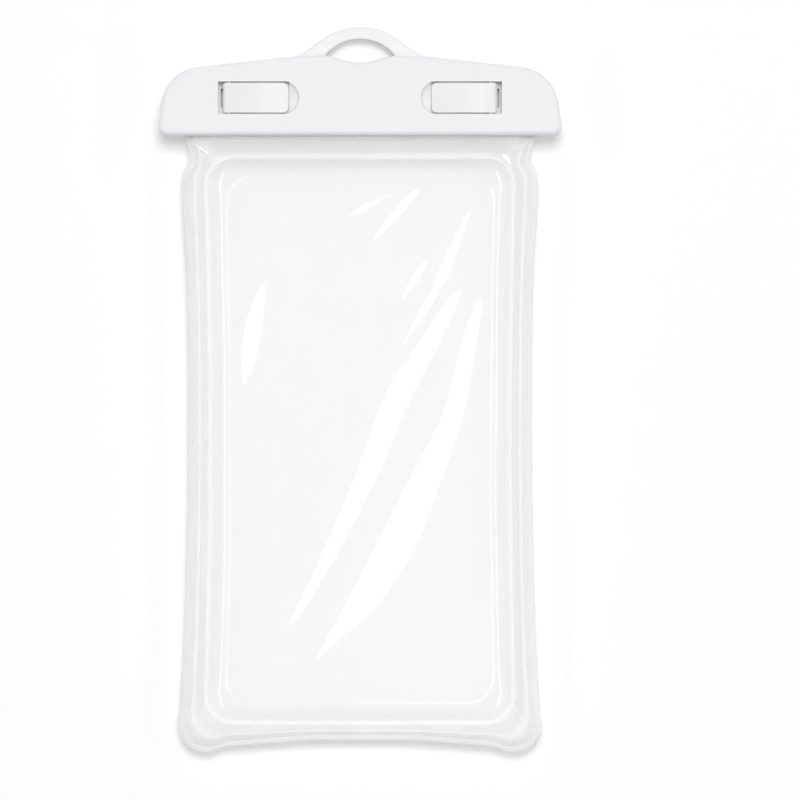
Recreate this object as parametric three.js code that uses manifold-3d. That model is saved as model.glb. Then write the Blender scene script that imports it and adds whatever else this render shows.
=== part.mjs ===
// A waterproof phone pouch: a clear welded film bag with an inflated rim, closed at its mouth by
// a clamp of two bars, which two flip-up levers lock together.
// Millimetres, +Z up. The pouch lies on its back: +Z comes out of its front, +Y points to the
// clamp. The origin is on the surface that the pouch lies on, under the middle of its outline.

import * as THREE from "three";
import { mergeVertices } from "three/addons/utils/BufferGeometryUtils.js";
import Module from "manifold-3d";

const wasm = await Module();
wasm.setup();

// Driving dimensions: the whole pouch
const THICKNESS = 14; // clamp, front to back
const MIDDLE = THICKNESS / 2; // height of the plane where front and rear meet
const GAP = 0.3; // clearance between pieces that touch

// Driving dimensions: the clamp bars
const BAR_HALF_WIDTH = 60;
const BAR_BOTTOM = 75.6; // edge that faces the bag
const BAR_CORNER = 3; // radius of the two corners at that edge
const BAR_SIDE_TOP = { x: 59.4, y: 82.5 }; // where the straight side turns into the shoulder
const BAR_SHOULDER = { x: 48.8, y: 95.9 };
const BAR_TOP = { x: 20.2, y: 99.05 };
const DIP_START = { x: 10.8, y: 99.4 }; // where the top edge dips below the strap loop
const DIP_FLOOR = 97.2;
const BAR_EDGE = 1.8; // rounding of the outer edges
const BAR_STEPS = 8; // straight pieces that stand for one curve of the outline

// Driving dimensions: the strap loop on the rear bar
const LOOP_FOOT = { x: 20.5, y: 98.9 };
const LOOP_TOP = 108.1;
const LOOP_EYE_TOP = 104.5;
const LOOP_EYE_CORNER = { x: 10.4, y: 99.5 };
const LOOP_BACK = 1.6; // height of its back face
const LOOP_FRONT = 6; // height of its front face
const LOOP_EDGE = 0.8;

// Driving dimensions: the slit that grips the mouth of the bag, with its rib and seal
const SLIT_DEPTH = 6.2; // from the edge of the bars inwards
const SLIT_HALF_WIDTH = 53;
const SLIT_HALF_OPENING = 1.3;
const RIB_HALF_WIDTH = 0.8;
const RIB_STANDOFF = 0.8; // from the middle plane to the rib and to the seal
const GRIP_LINE = BAR_BOTTOM + 2.9; // where rib and seal pinch the films
const SEAL_HALF_LENGTH = 52;
const SEAL_HALF_WIDTH = 0.9;
const SEAL_HEIGHT = 1.9;

// Driving dimensions: the flip levers, given for the one at +X
const LEVER_INNER = 21.35;
const LEVER_OUTER = 40.7;
const LEVER_HEIGHT = 8.9; // along Y
const LEVER_LINE = 86.8; // its middle
const LEVER_BOTTOM = 11.3;
const LEVER_CREST = 14.3; // ridge across the middle of the lever
const LEVER_END = 13.4; // top of its two ends
const LEVER_INNER_CORNER = 1.6;
const LEVER_OUTER_CORNER = 0.8;
const PIN_X = 38.9;
const PIN_HEIGHT = 12;
const PIN_RADIUS = 0.75;
const PIN_HOLD = 1.5; // length of pin in each wall of the window
const HOOK_HALF_THICKNESS = 0.8;
const HOOK_HALF_WIDTH = 2.5; // along Y
const HOOK_BOTTOM = 3.85;
const HOOK_TOE = 1; // how far the toe stands out of the leg
const HOOK_TOE_TOP = 5.35;

// Driving dimensions: the lever's window in the front bar, and the hook's pocket in the rear bar
const WINDOW_INNER = LEVER_INNER - 0.35;
const WINDOW_OUTER = 42.2;
const WINDOW_HALF_HEIGHT = LEVER_HEIGHT / 2 + 0.35;
const WINDOW_FLOOR = 9.8;
const SEAT_END = 30; // the lever's free end rests on a seat up to here
const SHAFT_OUTER = 41.5;
const SCOOP_RADIUS = 4.9; // thumb scoop at the lever's free end
const SCOOP_DEPTH = 2.4;
const POCKET_INNER = 31.9;
const POCKET_LIP = 40; // edge of the lip that the toe catches
const POCKET_OUTER = 41.3;
const POCKET_FLOOR = 3.2;
const LIP_UNDERSIDE = 5.65;

// Driving dimensions: the bag, its rim and its pocket
const FILM = 0.35;
const MOUTH_HALF_WIDTH = 52.6;
const MOUTH_TOP = BAR_BOTTOM + 5.8; // end of the films inside the slit
const LOBE = { x: 46.1, y: -100, radius: 8.1 }; // inflated corner at the foot of the bag
const LOBE_ANGLES = [-95, -60, -30, 0];
const BAG_FOOT = [
  [0, -104.6],
  [16.3, -104.7],
  [35.3, -106.1],
  [39.6, -106.4],
];
const BAG_SIDE = [
  [53.4, -92.4],
  [52, -62.6],
  [51.2, -18],
  [51.5, 26.7],
  [53, 61],
  [50.6, 69],
  [MOUTH_HALF_WIDTH, BAR_BOTTOM],
];
const FLANGE = 1.2; // flat weld outside the inflated rim
const RIM_FULL_HEIGHT = 6.25;
const RIM_FULLNESS = 4; // the rim is nearly at full height where it is twice this wide
const RIM_TOP_SHARE = 0.55; // its height beside the clamp
const RIM_TOP_BLEND = [56, 70]; // stretch along Y over which it sinks to that
const RIM_TOP = BAR_BOTTOM - 0.4;
const WELD = { halfWidth: 45.9, waist: 1.5, top: 69.2, bottom: -99.1, radius: 8.2 };
const WELD_WIDTH = 0.4;
const POCKET_FACE = { halfWidth: 39.6, waist: 0.2, top: 64.2, bottom: -94.4, radius: 10 };
const POCKET_HALF_DEPTH = 4.3; // from the middle plane to the outside of the film
const EDGE_STEPS = 9; // steps along each straight stretch of the rim
const CORNER_STEPS = 12;
const RIM_ANGLES = [0, 28, 59, 90, 121, 152, 180]; // points of the rim's rounded section

const degrees = THREE.MathUtils.degToRad;
const point = (x, y) => new THREE.Vector2(x, y);

// Solids and geometries

// The closed mesh as a solid that can be joined and cut.
function solidOf(geometry) {
  const bare = geometry.clone();
  bare.deleteAttribute("normal");
  bare.deleteAttribute("uv");
  const merged = mergeVertices(bare, 1e-4);
  return new wasm.Manifold(
    new wasm.Mesh({
      numProp: 3,
      vertProperties: merged.attributes.position.array,
      triVerts: new Uint32Array(merged.index.array),
    }),
  );
}

function geometryOf(solid) {
  const mesh = solid.getMesh();
  return indexedGeometry(Array.from(mesh.vertProperties), Array.from(mesh.triVerts));
}

function joined(...geometries) {
  return geometryOf(geometries.map(solidOf).reduce((whole, piece) => whole.add(piece)));
}

function cut(geometry, ...tools) {
  return geometryOf(tools.map(solidOf).reduce((left, tool) => left.subtract(tool), solidOf(geometry)));
}

function common(first, second) {
  return geometryOf(solidOf(first).intersect(solidOf(second)));
}

function indexedGeometry(positions, faces) {
  const geometry = new THREE.BufferGeometry();
  geometry.setAttribute("position", new THREE.Float32BufferAttribute(positions, 3));
  geometry.setIndex(faces);
  geometry.computeVertexNormals();
  return geometry;
}

// A block between two opposite corners.
function block([x0, y0, z0], [x1, y1, z1]) {
  return new THREE.BoxGeometry(x1 - x0, y1 - y0, z1 - z0).translate(
    (x0 + x1) / 2,
    (y0 + y1) / 2,
    (z0 + z1) / 2,
  );
}

// Triangles that fill a flat outline, all facing up.
function fill(outline) {
  return THREE.ShapeUtils.triangulateShape(outline, []).map(([a, b, c]) => {
    const facesUp = THREE.ShapeUtils.area([outline[a], outline[b], outline[c]]) > 0;
    return facesUp ? [a, b, c] : [a, c, b];
  });
}

// Two triangles for each step along a strip between two rows of vertices.
function strip(faces, count, lower, upper) {
  for (let i = 0; i < count; i++) {
    const next = (i + 1) % count;
    faces.push(lower + i, lower + next, upper + next, lower + i, upper + next, upper + i);
  }
}

// A closed solid through layers, from the lowest up, whose outlines have the same number of points.
function stacked(layers) {
  const count = layers[0].outline.length;
  const positions = layers.flatMap(({ outline, z }) => outline.flatMap((p) => [p.x, p.y, z]));
  const top = count * (layers.length - 1);
  const faces = [];
  for (let start = 0; start < top; start += count) strip(faces, count, start, start + count);
  fill(layers[0].outline).forEach(([a, b, c]) => faces.push(a, c, b));
  fill(layers.at(-1).outline).forEach(([a, b, c]) => faces.push(top + a, top + b, top + c));
  return indexedGeometry(positions, faces);
}

// Unit vectors that point out of an anticlockwise outline, one for each of its points.
function outwardNormals(outline) {
  return outline.map((_, i) => {
    const before = outline.at(i - 1);
    const after = outline[(i + 1) % outline.length];
    return point(after.y - before.y, before.x - after.x).normalize();
  });
}

function shrunk(outline, distance) {
  const normals = outwardNormals(outline);
  return outline.map((p, i) => p.clone().addScaledVector(normals[i], -distance));
}

// The clamp bars

// Outline of both bars, anticlockwise: straight bottom edge, round shoulders, dip at the loop.
function barOutline() {
  const shape = new THREE.Shape();
  const inner = BAR_HALF_WIDTH - BAR_CORNER;
  const corner = BAR_BOTTOM + BAR_CORNER;
  shape.moveTo(-inner, BAR_BOTTOM);
  shape.lineTo(inner, BAR_BOTTOM);
  shape.absarc(inner, corner, BAR_CORNER, degrees(-90), 0);
  shape.lineTo(BAR_SIDE_TOP.x, BAR_SIDE_TOP.y);
  shape.bezierCurveTo(59.2, 88.5, 56.2, 94.6, BAR_SHOULDER.x, BAR_SHOULDER.y);
  shape.lineTo(BAR_TOP.x, BAR_TOP.y);
  shape.lineTo(DIP_START.x, DIP_START.y);
  shape.bezierCurveTo(7.5, 99.2, 4.5, DIP_FLOOR, 0, DIP_FLOOR);
  shape.bezierCurveTo(-4.5, DIP_FLOOR, -7.5, 99.2, -DIP_START.x, DIP_START.y);
  shape.lineTo(-BAR_TOP.x, BAR_TOP.y);
  shape.lineTo(-BAR_SHOULDER.x, BAR_SHOULDER.y);
  shape.bezierCurveTo(-56.2, 94.6, -59.2, 88.5, -BAR_SIDE_TOP.x, BAR_SIDE_TOP.y);
  shape.lineTo(-BAR_HALF_WIDTH, corner);
  shape.absarc(-inner, corner, BAR_CORNER, degrees(180), degrees(270));
  const points = shape.getPoints(BAR_STEPS);
  return points.filter((p, i) => p.distanceTo(points.at(i - 1)) > 0.01);
}

// A plate of the bars' outline from the parting plane to its outer face, with a rounded outer edge.
// It is the front bar's blank: the rear bar's is the same, turned over.
function barBlank() {
  const outline = barOutline();
  const parting = MIDDLE + GAP / 2;
  const roundedFrom = THICKNESS - BAR_EDGE;
  const rounding = [0, 30, 60, 90].map((angle) => ({
    outline: shrunk(outline, BAR_EDGE * (1 - Math.cos(degrees(angle)))),
    z: roundedFrom + BAR_EDGE * Math.sin(degrees(angle)),
  }));
  return stacked([{ outline, z: parting }, ...rounding]);
}

// The recess along the bottom edge of a bar, up to a given distance from the middle plane.
function slit(from, to) {
  return block(
    [-SLIT_HALF_WIDTH, BAR_BOTTOM - 1, from],
    [SLIT_HALF_WIDTH, BAR_BOTTOM + SLIT_DEPTH, to],
  );
}

function pinHole(side) {
  const length = 2 * (WINDOW_HALF_HEIGHT + PIN_HOLD + GAP);
  return new THREE.CylinderGeometry(PIN_RADIUS + GAP, PIN_RADIUS + GAP, length, 16).translate(
    side * PIN_X,
    LEVER_LINE,
    PIN_HEIGHT,
  );
}

// A block on one side of the pouch, given by its distances from the middle.
function sideBlock(side, [inner, outer], halfHeight, [low, high]) {
  const [left, right] = side > 0 ? [inner, outer] : [-outer, -inner];
  return block(
    [left, LEVER_LINE - halfHeight, low],
    [right, LEVER_LINE + halfHeight, high],
  );
}

// What is cut out of the front bar for one lever: the well that it lies in, with a seat for its
// free end, the shaft for its hook, the thumb scoop and the pin's hole.
function leverWindow(side) {
  const above = THICKNESS + 1;
  const seat = LEVER_BOTTOM - GAP;
  const scoop = new THREE.SphereGeometry(1, 24, 16)
    .scale(SCOOP_RADIUS, SCOOP_RADIUS, SCOOP_DEPTH)
    .translate(side * (WINDOW_INNER + 1.9), LEVER_LINE, THICKNESS);
  return [
    sideBlock(side, [WINDOW_INNER, WINDOW_OUTER], WINDOW_HALF_HEIGHT, [seat, above]),
    sideBlock(side, [SEAT_END, WINDOW_OUTER], WINDOW_HALF_HEIGHT, [WINDOW_FLOOR, above]),
    sideBlock(side, [SEAT_END, SHAFT_OUTER], HOOK_HALF_WIDTH + GAP, [MIDDLE - 1, above]),
    scoop,
    pinHole(side),
  ];
}

function frontBar() {
  const rib = block(
    [-SLIT_HALF_WIDTH, GRIP_LINE - RIB_HALF_WIDTH, MIDDLE + RIB_STANDOFF],
    [SLIT_HALF_WIDTH, GRIP_LINE + RIB_HALF_WIDTH, MIDDLE + SLIT_HALF_OPENING + 1],
  );
  const slotted = cut(barBlank(), slit(MIDDLE - 1, MIDDLE + SLIT_HALF_OPENING));
  return cut(joined(slotted, rib), ...leverWindow(1), ...leverWindow(-1));
}

// The arch that a wrist strap is tied to, with its eye.
function strapLoop() {
  const arch = new THREE.Shape();
  const root = DIP_FLOOR - 3;
  arch.moveTo(-LOOP_FOOT.x, root);
  arch.lineTo(LOOP_FOOT.x, root);
  arch.lineTo(LOOP_FOOT.x, LOOP_FOOT.y);
  arch.bezierCurveTo(14, 99.9, 11, LOOP_TOP, 0, LOOP_TOP);
  arch.bezierCurveTo(-11, LOOP_TOP, -14, 99.9, -LOOP_FOOT.x, LOOP_FOOT.y);
  const eye = new THREE.Path();
  eye.moveTo(-LOOP_EYE_CORNER.x, LOOP_EYE_CORNER.y);
  eye.bezierCurveTo(-8.3, 102, -5, LOOP_EYE_TOP, 0, LOOP_EYE_TOP);
  eye.bezierCurveTo(5, LOOP_EYE_TOP, 8.3, 102, LOOP_EYE_CORNER.x, LOOP_EYE_CORNER.y);
  eye.bezierCurveTo(7.5, 99.2, 4.5, DIP_FLOOR, 0, DIP_FLOOR);
  eye.bezierCurveTo(-4.5, DIP_FLOOR, -7.5, 99.2, -LOOP_EYE_CORNER.x, LOOP_EYE_CORNER.y);
  arch.holes.push(eye);
  return new THREE.ExtrudeGeometry(arch, {
    depth: LOOP_FRONT - LOOP_BACK - 2 * LOOP_EDGE,
    curveSegments: BAR_STEPS,
    bevelThickness: LOOP_EDGE,
    bevelSize: LOOP_EDGE,
    bevelOffset: -LOOP_EDGE,
    bevelSegments: 2,
  }).translate(0, 0, LOOP_BACK + LOOP_EDGE);
}

// What is cut out of the rear bar for one hook: its swing, and the undercut below the lip.
function hookPocket(side) {
  const halfHeight = HOOK_HALF_WIDTH + GAP;
  return [
    sideBlock(side, [POCKET_INNER, POCKET_LIP], halfHeight, [POCKET_FLOOR, MIDDLE]),
    sideBlock(side, [POCKET_LIP - 1, POCKET_OUTER], halfHeight, [POCKET_FLOOR, LIP_UNDERSIDE]),
  ];
}

function rearBar() {
  const blank = barBlank().rotateY(Math.PI).translate(0, 0, THICKNESS);
  const sealTop = MIDDLE - RIB_STANDOFF;
  const groove = block(
    [-SEAL_HALF_LENGTH - GAP, GRIP_LINE - SEAL_HALF_WIDTH - GAP, sealTop - SEAL_HEIGHT - GAP],
    [SEAL_HALF_LENGTH + GAP, GRIP_LINE + SEAL_HALF_WIDTH + GAP, MIDDLE],
  );
  return cut(
    joined(blank, strapLoop()),
    slit(MIDDLE - SLIT_HALF_OPENING, MIDDLE + 1),
    groove,
    ...hookPocket(1),
    ...hookPocket(-1),
  );
}

// A soft strip with a rounded top, which the rib presses the films against.
function sealStrip() {
  const section = new THREE.Shape();
  section.moveTo(SEAL_HALF_WIDTH, 0);
  section.lineTo(SEAL_HALF_WIDTH, SEAL_HEIGHT - SEAL_HALF_WIDTH);
  section.absarc(0, SEAL_HEIGHT - SEAL_HALF_WIDTH, SEAL_HALF_WIDTH, 0, Math.PI);
  section.lineTo(-SEAL_HALF_WIDTH, 0);
  return new THREE.ExtrudeGeometry(section, {
    depth: 2 * SEAL_HALF_LENGTH,
    curveSegments: 8,
    bevelEnabled: false,
  })
    .rotateX(Math.PI / 2)
    .rotateZ(Math.PI / 2)
    .translate(-SEAL_HALF_LENGTH, GRIP_LINE, MIDDLE - RIB_STANDOFF - SEAL_HEIGHT);
}

// The levers

// A profile in X and Z, extruded along Y over a given height and centred on the levers' line.
function alongY(profile, height) {
  return new THREE.ExtrudeGeometry(profile, {
    depth: height,
    curveSegments: 6,
    bevelEnabled: false,
  })
    .rotateX(Math.PI / 2)
    .translate(0, LEVER_LINE + height / 2, 0);
}

// The lever at +X, closed: a crowned plate with an eye for the pin, and a hook below the eye.
function lever() {
  const eyeRadius = LEVER_OUTER - PIN_X;
  const middle = (LEVER_INNER + LEVER_OUTER) / 2;
  const plate = new THREE.Shape();
  plate.moveTo(LEVER_INNER, LEVER_BOTTOM + 0.6);
  plate.lineTo(LEVER_INNER + 0.6, LEVER_BOTTOM);
  plate.lineTo(PIN_X - eyeRadius, LEVER_BOTTOM);
  plate.absarc(PIN_X, PIN_HEIGHT, eyeRadius, degrees(205), degrees(360));
  plate.lineTo(LEVER_OUTER, LEVER_END - 0.5);
  plate.lineTo(LEVER_OUTER - 0.5, LEVER_END);
  plate.quadraticCurveTo((middle + LEVER_OUTER) / 2, LEVER_CREST - 0.1, middle, LEVER_CREST);
  plate.quadraticCurveTo((middle + LEVER_INNER) / 2, LEVER_CREST - 0.1, LEVER_INNER, LEVER_END);

  const hook = new THREE.Shape();
  const [inner, outer] = [PIN_X - HOOK_HALF_THICKNESS, PIN_X + HOOK_HALF_THICKNESS];
  hook.moveTo(inner, HOOK_BOTTOM);
  hook.lineTo(outer + HOOK_TOE / 2, HOOK_BOTTOM);
  hook.lineTo(outer + HOOK_TOE, HOOK_BOTTOM + HOOK_TOE / 2);
  hook.lineTo(outer + HOOK_TOE, HOOK_TOE_TOP);
  hook.lineTo(outer, HOOK_TOE_TOP);
  hook.lineTo(outer, PIN_HEIGHT);
  hook.lineTo(inner, PIN_HEIGHT);

  const pinEye = new THREE.CylinderGeometry(PIN_RADIUS + GAP, PIN_RADIUS + GAP, 12, 16);
  pinEye.translate(PIN_X, LEVER_LINE, PIN_HEIGHT);
  const plateSolid = common(alongY(plate, LEVER_HEIGHT), leverPlan());
  return cut(joined(plateSolid, alongY(hook, 2 * HOOK_HALF_WIDTH)), pinEye);
}

// The lever seen from the front: a rectangle, rounder at its free end, as a tall block.
function leverPlan() {
  const plan = new THREE.Shape();
  const [low, high] = [LEVER_LINE - LEVER_HEIGHT / 2, LEVER_LINE + LEVER_HEIGHT / 2];
  const [free, held] = [LEVER_INNER_CORNER, LEVER_OUTER_CORNER];
  plan.moveTo(LEVER_INNER + free, low);
  plan.lineTo(LEVER_OUTER - held, low);
  plan.absarc(LEVER_OUTER - held, low + held, held, degrees(-90), 0);
  plan.lineTo(LEVER_OUTER, high - held);
  plan.absarc(LEVER_OUTER - held, high - held, held, 0, degrees(90));
  plan.lineTo(LEVER_INNER + free, high);
  plan.absarc(LEVER_INNER + free, high - free, free, degrees(90), degrees(180));
  plan.lineTo(LEVER_INNER, low + free);
  plan.absarc(LEVER_INNER + free, low + free, free, degrees(180), degrees(270));
  return new THREE.ExtrudeGeometry(plan, {
    depth: THICKNESS,
    curveSegments: 4,
    bevelEnabled: false,
  }).translate(0, 0, MIDDLE);
}

function leverPin() {
  const length = 2 * (WINDOW_HALF_HEIGHT + PIN_HOLD);
  return new THREE.CylinderGeometry(PIN_RADIUS, PIN_RADIUS, length, 16);
}

// The bag

// Outer edge of the films, from one end of the mouth round the foot to the other end.
function bagEdge() {
  const lobe = LOBE_ANGLES.map((angle) => [
    LOBE.x + LOBE.radius * Math.cos(degrees(angle)),
    LOBE.y + LOBE.radius * Math.sin(degrees(angle)),
  ]);
  const right = [...BAG_FOOT, ...lobe, ...BAG_SIDE].map(([x, y]) => point(x, y));
  const left = right.slice(1).map((p) => point(-p.x, p.y));
  const edge = new THREE.SplineCurve([...left.reverse(), ...right]).getPoints(400);
  return [point(-MOUTH_HALF_WIDTH, MOUTH_TOP), ...edge, point(MOUTH_HALF_WIDTH, MOUTH_TOP)];
}

// A rectangle with round corners and a slight waist, anticlockwise from the left end of its foot.
// Every such line has the same number of points, so that neighbouring lines can be joined.
function waistedRectangle({ halfWidth, waist, top, bottom, radius }) {
  const middle = (top + bottom) / 2;
  const halfHeight = (top - bottom) / 2;
  const widthAt = (y) => halfWidth - waist * (1 - ((y - middle) / halfHeight) ** 2);
  const [low, high] = [bottom + radius, top - radius];
  const [lowX, highX] = [widthAt(low) - radius, widthAt(high) - radius];
  const steps = (count) => Array.from({ length: count }, (_, i) => i / count);
  const between = (from, to, share) => from + (to - from) * share;
  const corner = (x, y, start) =>
    steps(CORNER_STEPS).map((share) => {
      const angle = degrees(start + 90 * share);
      return point(x + radius * Math.cos(angle), y + radius * Math.sin(angle));
    });
  const side = (sign, from, to) =>
    steps(EDGE_STEPS).map((share) => {
      const y = between(from, to, share);
      return point(sign * widthAt(y), y);
    });
  return [
    ...steps(EDGE_STEPS).map((share) => point(between(-lowX, lowX, share), bottom)),
    ...corner(lowX, low, -90),
    ...side(1, low, high),
    ...corner(highX, high, 0),
    ...steps(EDGE_STEPS).map((share) => point(between(highX, -highX, share), top)),
    ...corner(-highX, high, 90),
    ...side(-1, high, low),
    ...corner(-lowX, low, 180),
  ];
}

// Distance from a start point along a direction to the first place where it meets a closed line.
function reach(start, direction, line) {
  const distances = line.map((from, i) => {
    const along = line[(i + 1) % line.length].clone().sub(from);
    const offset = from.clone().sub(start);
    const turn = direction.cross(along);
    const distance = offset.cross(along) / turn;
    const share = offset.cross(direction) / turn;
    return distance > 0 && share >= 0 && share <= 1 ? distance : Infinity;
  });
  return Math.min(...distances);
}

// A front film: flat below the rim and in the slit, raised over the pocket.
function film(weld, normals, reaches) {
  const flat = MIDDLE + GAP / 2 + FILM;
  const face = waistedRectangle(POCKET_FACE);
  const rows = [
    weld.map((p, i) => p.clone().addScaledVector(normals[i], reaches[i])),
    weld,
    weld.map((p, i) => p.clone().lerp(face[i], 0.5)),
    face,
  ];
  const raised = POCKET_HALF_DEPTH + MIDDLE;
  const heights = [flat, flat, flat + (raised - flat) * 0.6, raised];
  const count = weld.length;
  const rowPositions = (lift) =>
    rows.flatMap((row, level) => row.flatMap((p) => [p.x, p.y, heights[level] - lift]));
  const under = rows.length * count;
  const inner = (rows.length - 1) * count;
  const faces = [];
  for (let row = 0; row < inner; row += count) {
    strip(faces, count, row, row + count);
    strip(faces, count, under + row + count, under + row);
  }
  strip(faces, count, under, 0);
  fill(face).forEach(([a, b, c]) => {
    faces.push(inner + a, inner + b, inner + c);
    faces.push(under + inner + a, under + inner + c, under + inner + b);
  });
  return indexedGeometry([...rowPositions(0), ...rowPositions(FILM)], faces);
}

// The inflated rim in front of a film: a closed ring whose section is flat below and round above.
function rim(weld, normals, reaches) {
  const base = MIDDLE + GAP / 2 + FILM + GAP;
  const sections = weld.map((start, i) => {
    const normal = normals[i];
    const clampLimit = normal.y > 0 ? (RIM_TOP - start.y) / normal.y : Infinity;
    const width = Math.min(reaches[i] - FLANGE, clampLimit) - WELD_WIDTH;
    const sunk = THREE.MathUtils.smoothstep(start.y, ...RIM_TOP_BLEND);
    const share = 1 - (1 - RIM_TOP_SHARE) * sunk;
    const height = RIM_FULL_HEIGHT * Math.tanh(width / RIM_FULLNESS) * share;
    return RIM_ANGLES.map((angle) => {
      const across = WELD_WIDTH + (width * (1 - Math.cos(degrees(angle)))) / 2;
      const lift = height * Math.sin(degrees(angle)) ** 0.8;
      return [start.x + normal.x * across, start.y + normal.y * across, base + lift];
    });
  });
  const size = RIM_ANGLES.length;
  const at = (section, corner) => (section % sections.length) * size + (corner % size);
  const faces = [];
  for (let i = 0; i < sections.length; i++)
    for (let j = 0; j < size; j++) {
      faces.push(at(i, j), at(i, j + 1), at(i + 1, j + 1));
      faces.push(at(i, j), at(i + 1, j + 1), at(i + 1, j));
    }
  return indexedGeometry(sections.flat(2), faces);
}

// The whole pouch

const CLAMP_WHITE = { color: 0xeeeef0, roughness: 0.45, metalness: 0 };
const LEVER_CLEAR = { color: 0xf5f6f7, roughness: 0.15, metalness: 0 };
const FILM_CLEAR = { color: 0xeff1f3, roughness: 0.12, metalness: 0 };
const RIM_CLEAR = { color: 0xe6e8ea, roughness: 0.15, metalness: 0 };
const SEAL_SILICONE = { color: 0xdcdcd8, roughness: 0.6, metalness: 0 };
const PIN_STEEL = { color: 0xb8babd, roughness: 0.3, metalness: 1 };

const group = new THREE.Group();

function add(name, geometry, look) {
  const mesh = new THREE.Mesh(geometry, new THREE.MeshStandardMaterial(look));
  mesh.name = name;
  group.add(mesh);
  return mesh;
}

// Turns a front piece into the rear one that mirrors it across the middle plane.
function mirrorToRear(mesh) {
  mesh.scale.z = -1;
  mesh.position.z = THICKNESS;
}

add("front_clamp_bar", frontBar(), CLAMP_WHITE);
add("rear_clamp_bar", rearBar(), CLAMP_WHITE);
add("seal_strip", sealStrip(), SEAL_SILICONE);

const leverShape = lever();
for (const [name, side] of [["left", -1], ["right", 1]]) {
  add(name + "_latch_lever", leverShape, LEVER_CLEAR).scale.x = side;
  add(name + "_latch_pin", leverPin(), PIN_STEEL).position.set(side * PIN_X, LEVER_LINE, PIN_HEIGHT);
}

const weld = waistedRectangle(WELD);
const normals = outwardNormals(weld);
const edge = bagEdge();
const reaches = weld.map((start, i) => reach(start, normals[i], edge));
const filmShape = film(weld, normals, reaches);
const rimShape = rim(weld, normals, reaches);
add("front_film", filmShape, FILM_CLEAR);
add("front_air_rim", rimShape, RIM_CLEAR);
mirrorToRear(add("rear_film", filmShape, FILM_CLEAR));
mirrorToRear(add("rear_air_rim", rimShape, RIM_CLEAR));

export default group;
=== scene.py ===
"""Builds the looks of a waterproof phone pouch: clamp, levers, clear films and inflated rims."""

import math

import bmesh
import bpy
import numpy as np
from bpy.props import FloatProperty, FloatVectorProperty, IntProperty, PointerProperty
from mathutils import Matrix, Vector
from mathutils.bvhtree import BVHTree


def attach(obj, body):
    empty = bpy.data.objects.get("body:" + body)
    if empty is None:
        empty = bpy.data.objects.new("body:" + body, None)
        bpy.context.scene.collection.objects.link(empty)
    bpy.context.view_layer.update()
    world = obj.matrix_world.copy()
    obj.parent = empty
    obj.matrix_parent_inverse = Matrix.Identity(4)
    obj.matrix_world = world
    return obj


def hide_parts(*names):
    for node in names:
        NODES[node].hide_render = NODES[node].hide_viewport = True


bl_info = {
    "name": "Waterproof Phone Pouch",
    "version": (1, 0, 0),
    "blender": (4, 5, 0),
    "location": "3D View > Sidebar > Pouch",
    "description": "Builds the pouch's clamp, levers, films, inflated rims and its studio",
    "category": "Add Mesh",
}

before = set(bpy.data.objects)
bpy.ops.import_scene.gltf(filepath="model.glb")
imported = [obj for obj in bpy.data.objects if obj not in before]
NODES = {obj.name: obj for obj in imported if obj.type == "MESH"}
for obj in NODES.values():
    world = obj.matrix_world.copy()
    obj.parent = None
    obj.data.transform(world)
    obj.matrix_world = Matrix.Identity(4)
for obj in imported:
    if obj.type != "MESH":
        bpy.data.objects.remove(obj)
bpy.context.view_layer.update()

# Lengths are millimetres where nothing else is said, and MM turns them into the frame's metres.
MM = 0.001
# The films meet at the middle of the clamp's thickness. Each is a sheet of thickness FILM in the
# solids, with a gap between the two.
THICKNESS = 14.0
MIDDLE = 7.0
GAP = 0.3
FILM = 0.35
# Height of the front film's outer face where it lies flat on the rear one.
FLAT = MIDDLE + GAP / 2 + FILM

# The bag's outline, seen from the front, as half of it from the foot up to the clamp.
CLAMP_EDGE = 75.6
MOUTH_TOP = CLAMP_EDGE + 5.8
MOUTH_HALF_WIDTH = 52.6
LOBE_X, LOBE_Y, LOBE_RADIUS = 46.1, -100.0, 8.1
LOBE_ANGLES = (-95, -60, -30, 0)
BAG_FOOT = ((0, -104.6), (16.3, -104.7), (35.3, -106.1), (39.6, -106.4))
BAG_SIDE = (
    (53.4, -92.4),
    (52, -62.6),
    (51.2, -18),
    (51.5, 26.7),
    (53, 61),
    (50.6, 69),
    (MOUTH_HALF_WIDTH, CLAMP_EDGE),
)
# Width of the welded edge outside the rim. It runs on a little under the rim.
FLANGE = 1.6
# The welded edge: distances in from the outline, and the share of the film's full height there.
HEM = ((0, 0), (0.03, 0.4), (0.12, 0.75), (0.3, 0.94), (0.5, 1), (FLANGE + 0.3, 1))

# The inflated rim. Its height grows with its width up to the full height. The shares of that height
# are for the front and the rear rim, along the sides and beside the clamp.
RIM_FULL_HEIGHT = 6.25
RIM_FULLNESS = 4.0
RIM_SHARE = {"front": 0.62, "rear": 1.0}
RIM_TOP_SHARE = {"front": 0.36, "rear": 0.55}
RIM_TOP_BLEND = (56.0, 70.0)
RIM_TOP = CLAMP_EDGE - 0.05
RIM_LIFT = 0.05
# The crown's crest leans outwards, and the crown is rounder on its inner side than on its outer one.
RIM_SKEW = 1.3
RIM_INNER_POWER, RIM_OUTER_POWER = 0.9, 1.4
# Beside the clamp the crown still rises where it runs in. How far the weld's normal points to the
# clamp says how much of that crown there is.
CLAMP_CROWN_REACH, CLAMP_CROWN_POWER = 1.3, 0.8
CLAMP_CROWN_BLEND = (0.7, 0.9)
# Long ridges of the rim: place across it, half width, and share of the streak height.
RIM_RIDGES = ((0.72, 0.06, 1.0), (0.9, 0.04, 0.8))
RIDGE_SWELL, RIDGE_SWELLS = 0.25, 7
# Slow waves of the rim's height: height, number round the rim, and start.
RIM_WAVES = ((0.12, 9, 0.5), (0.08, 23, 1.2))

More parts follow.
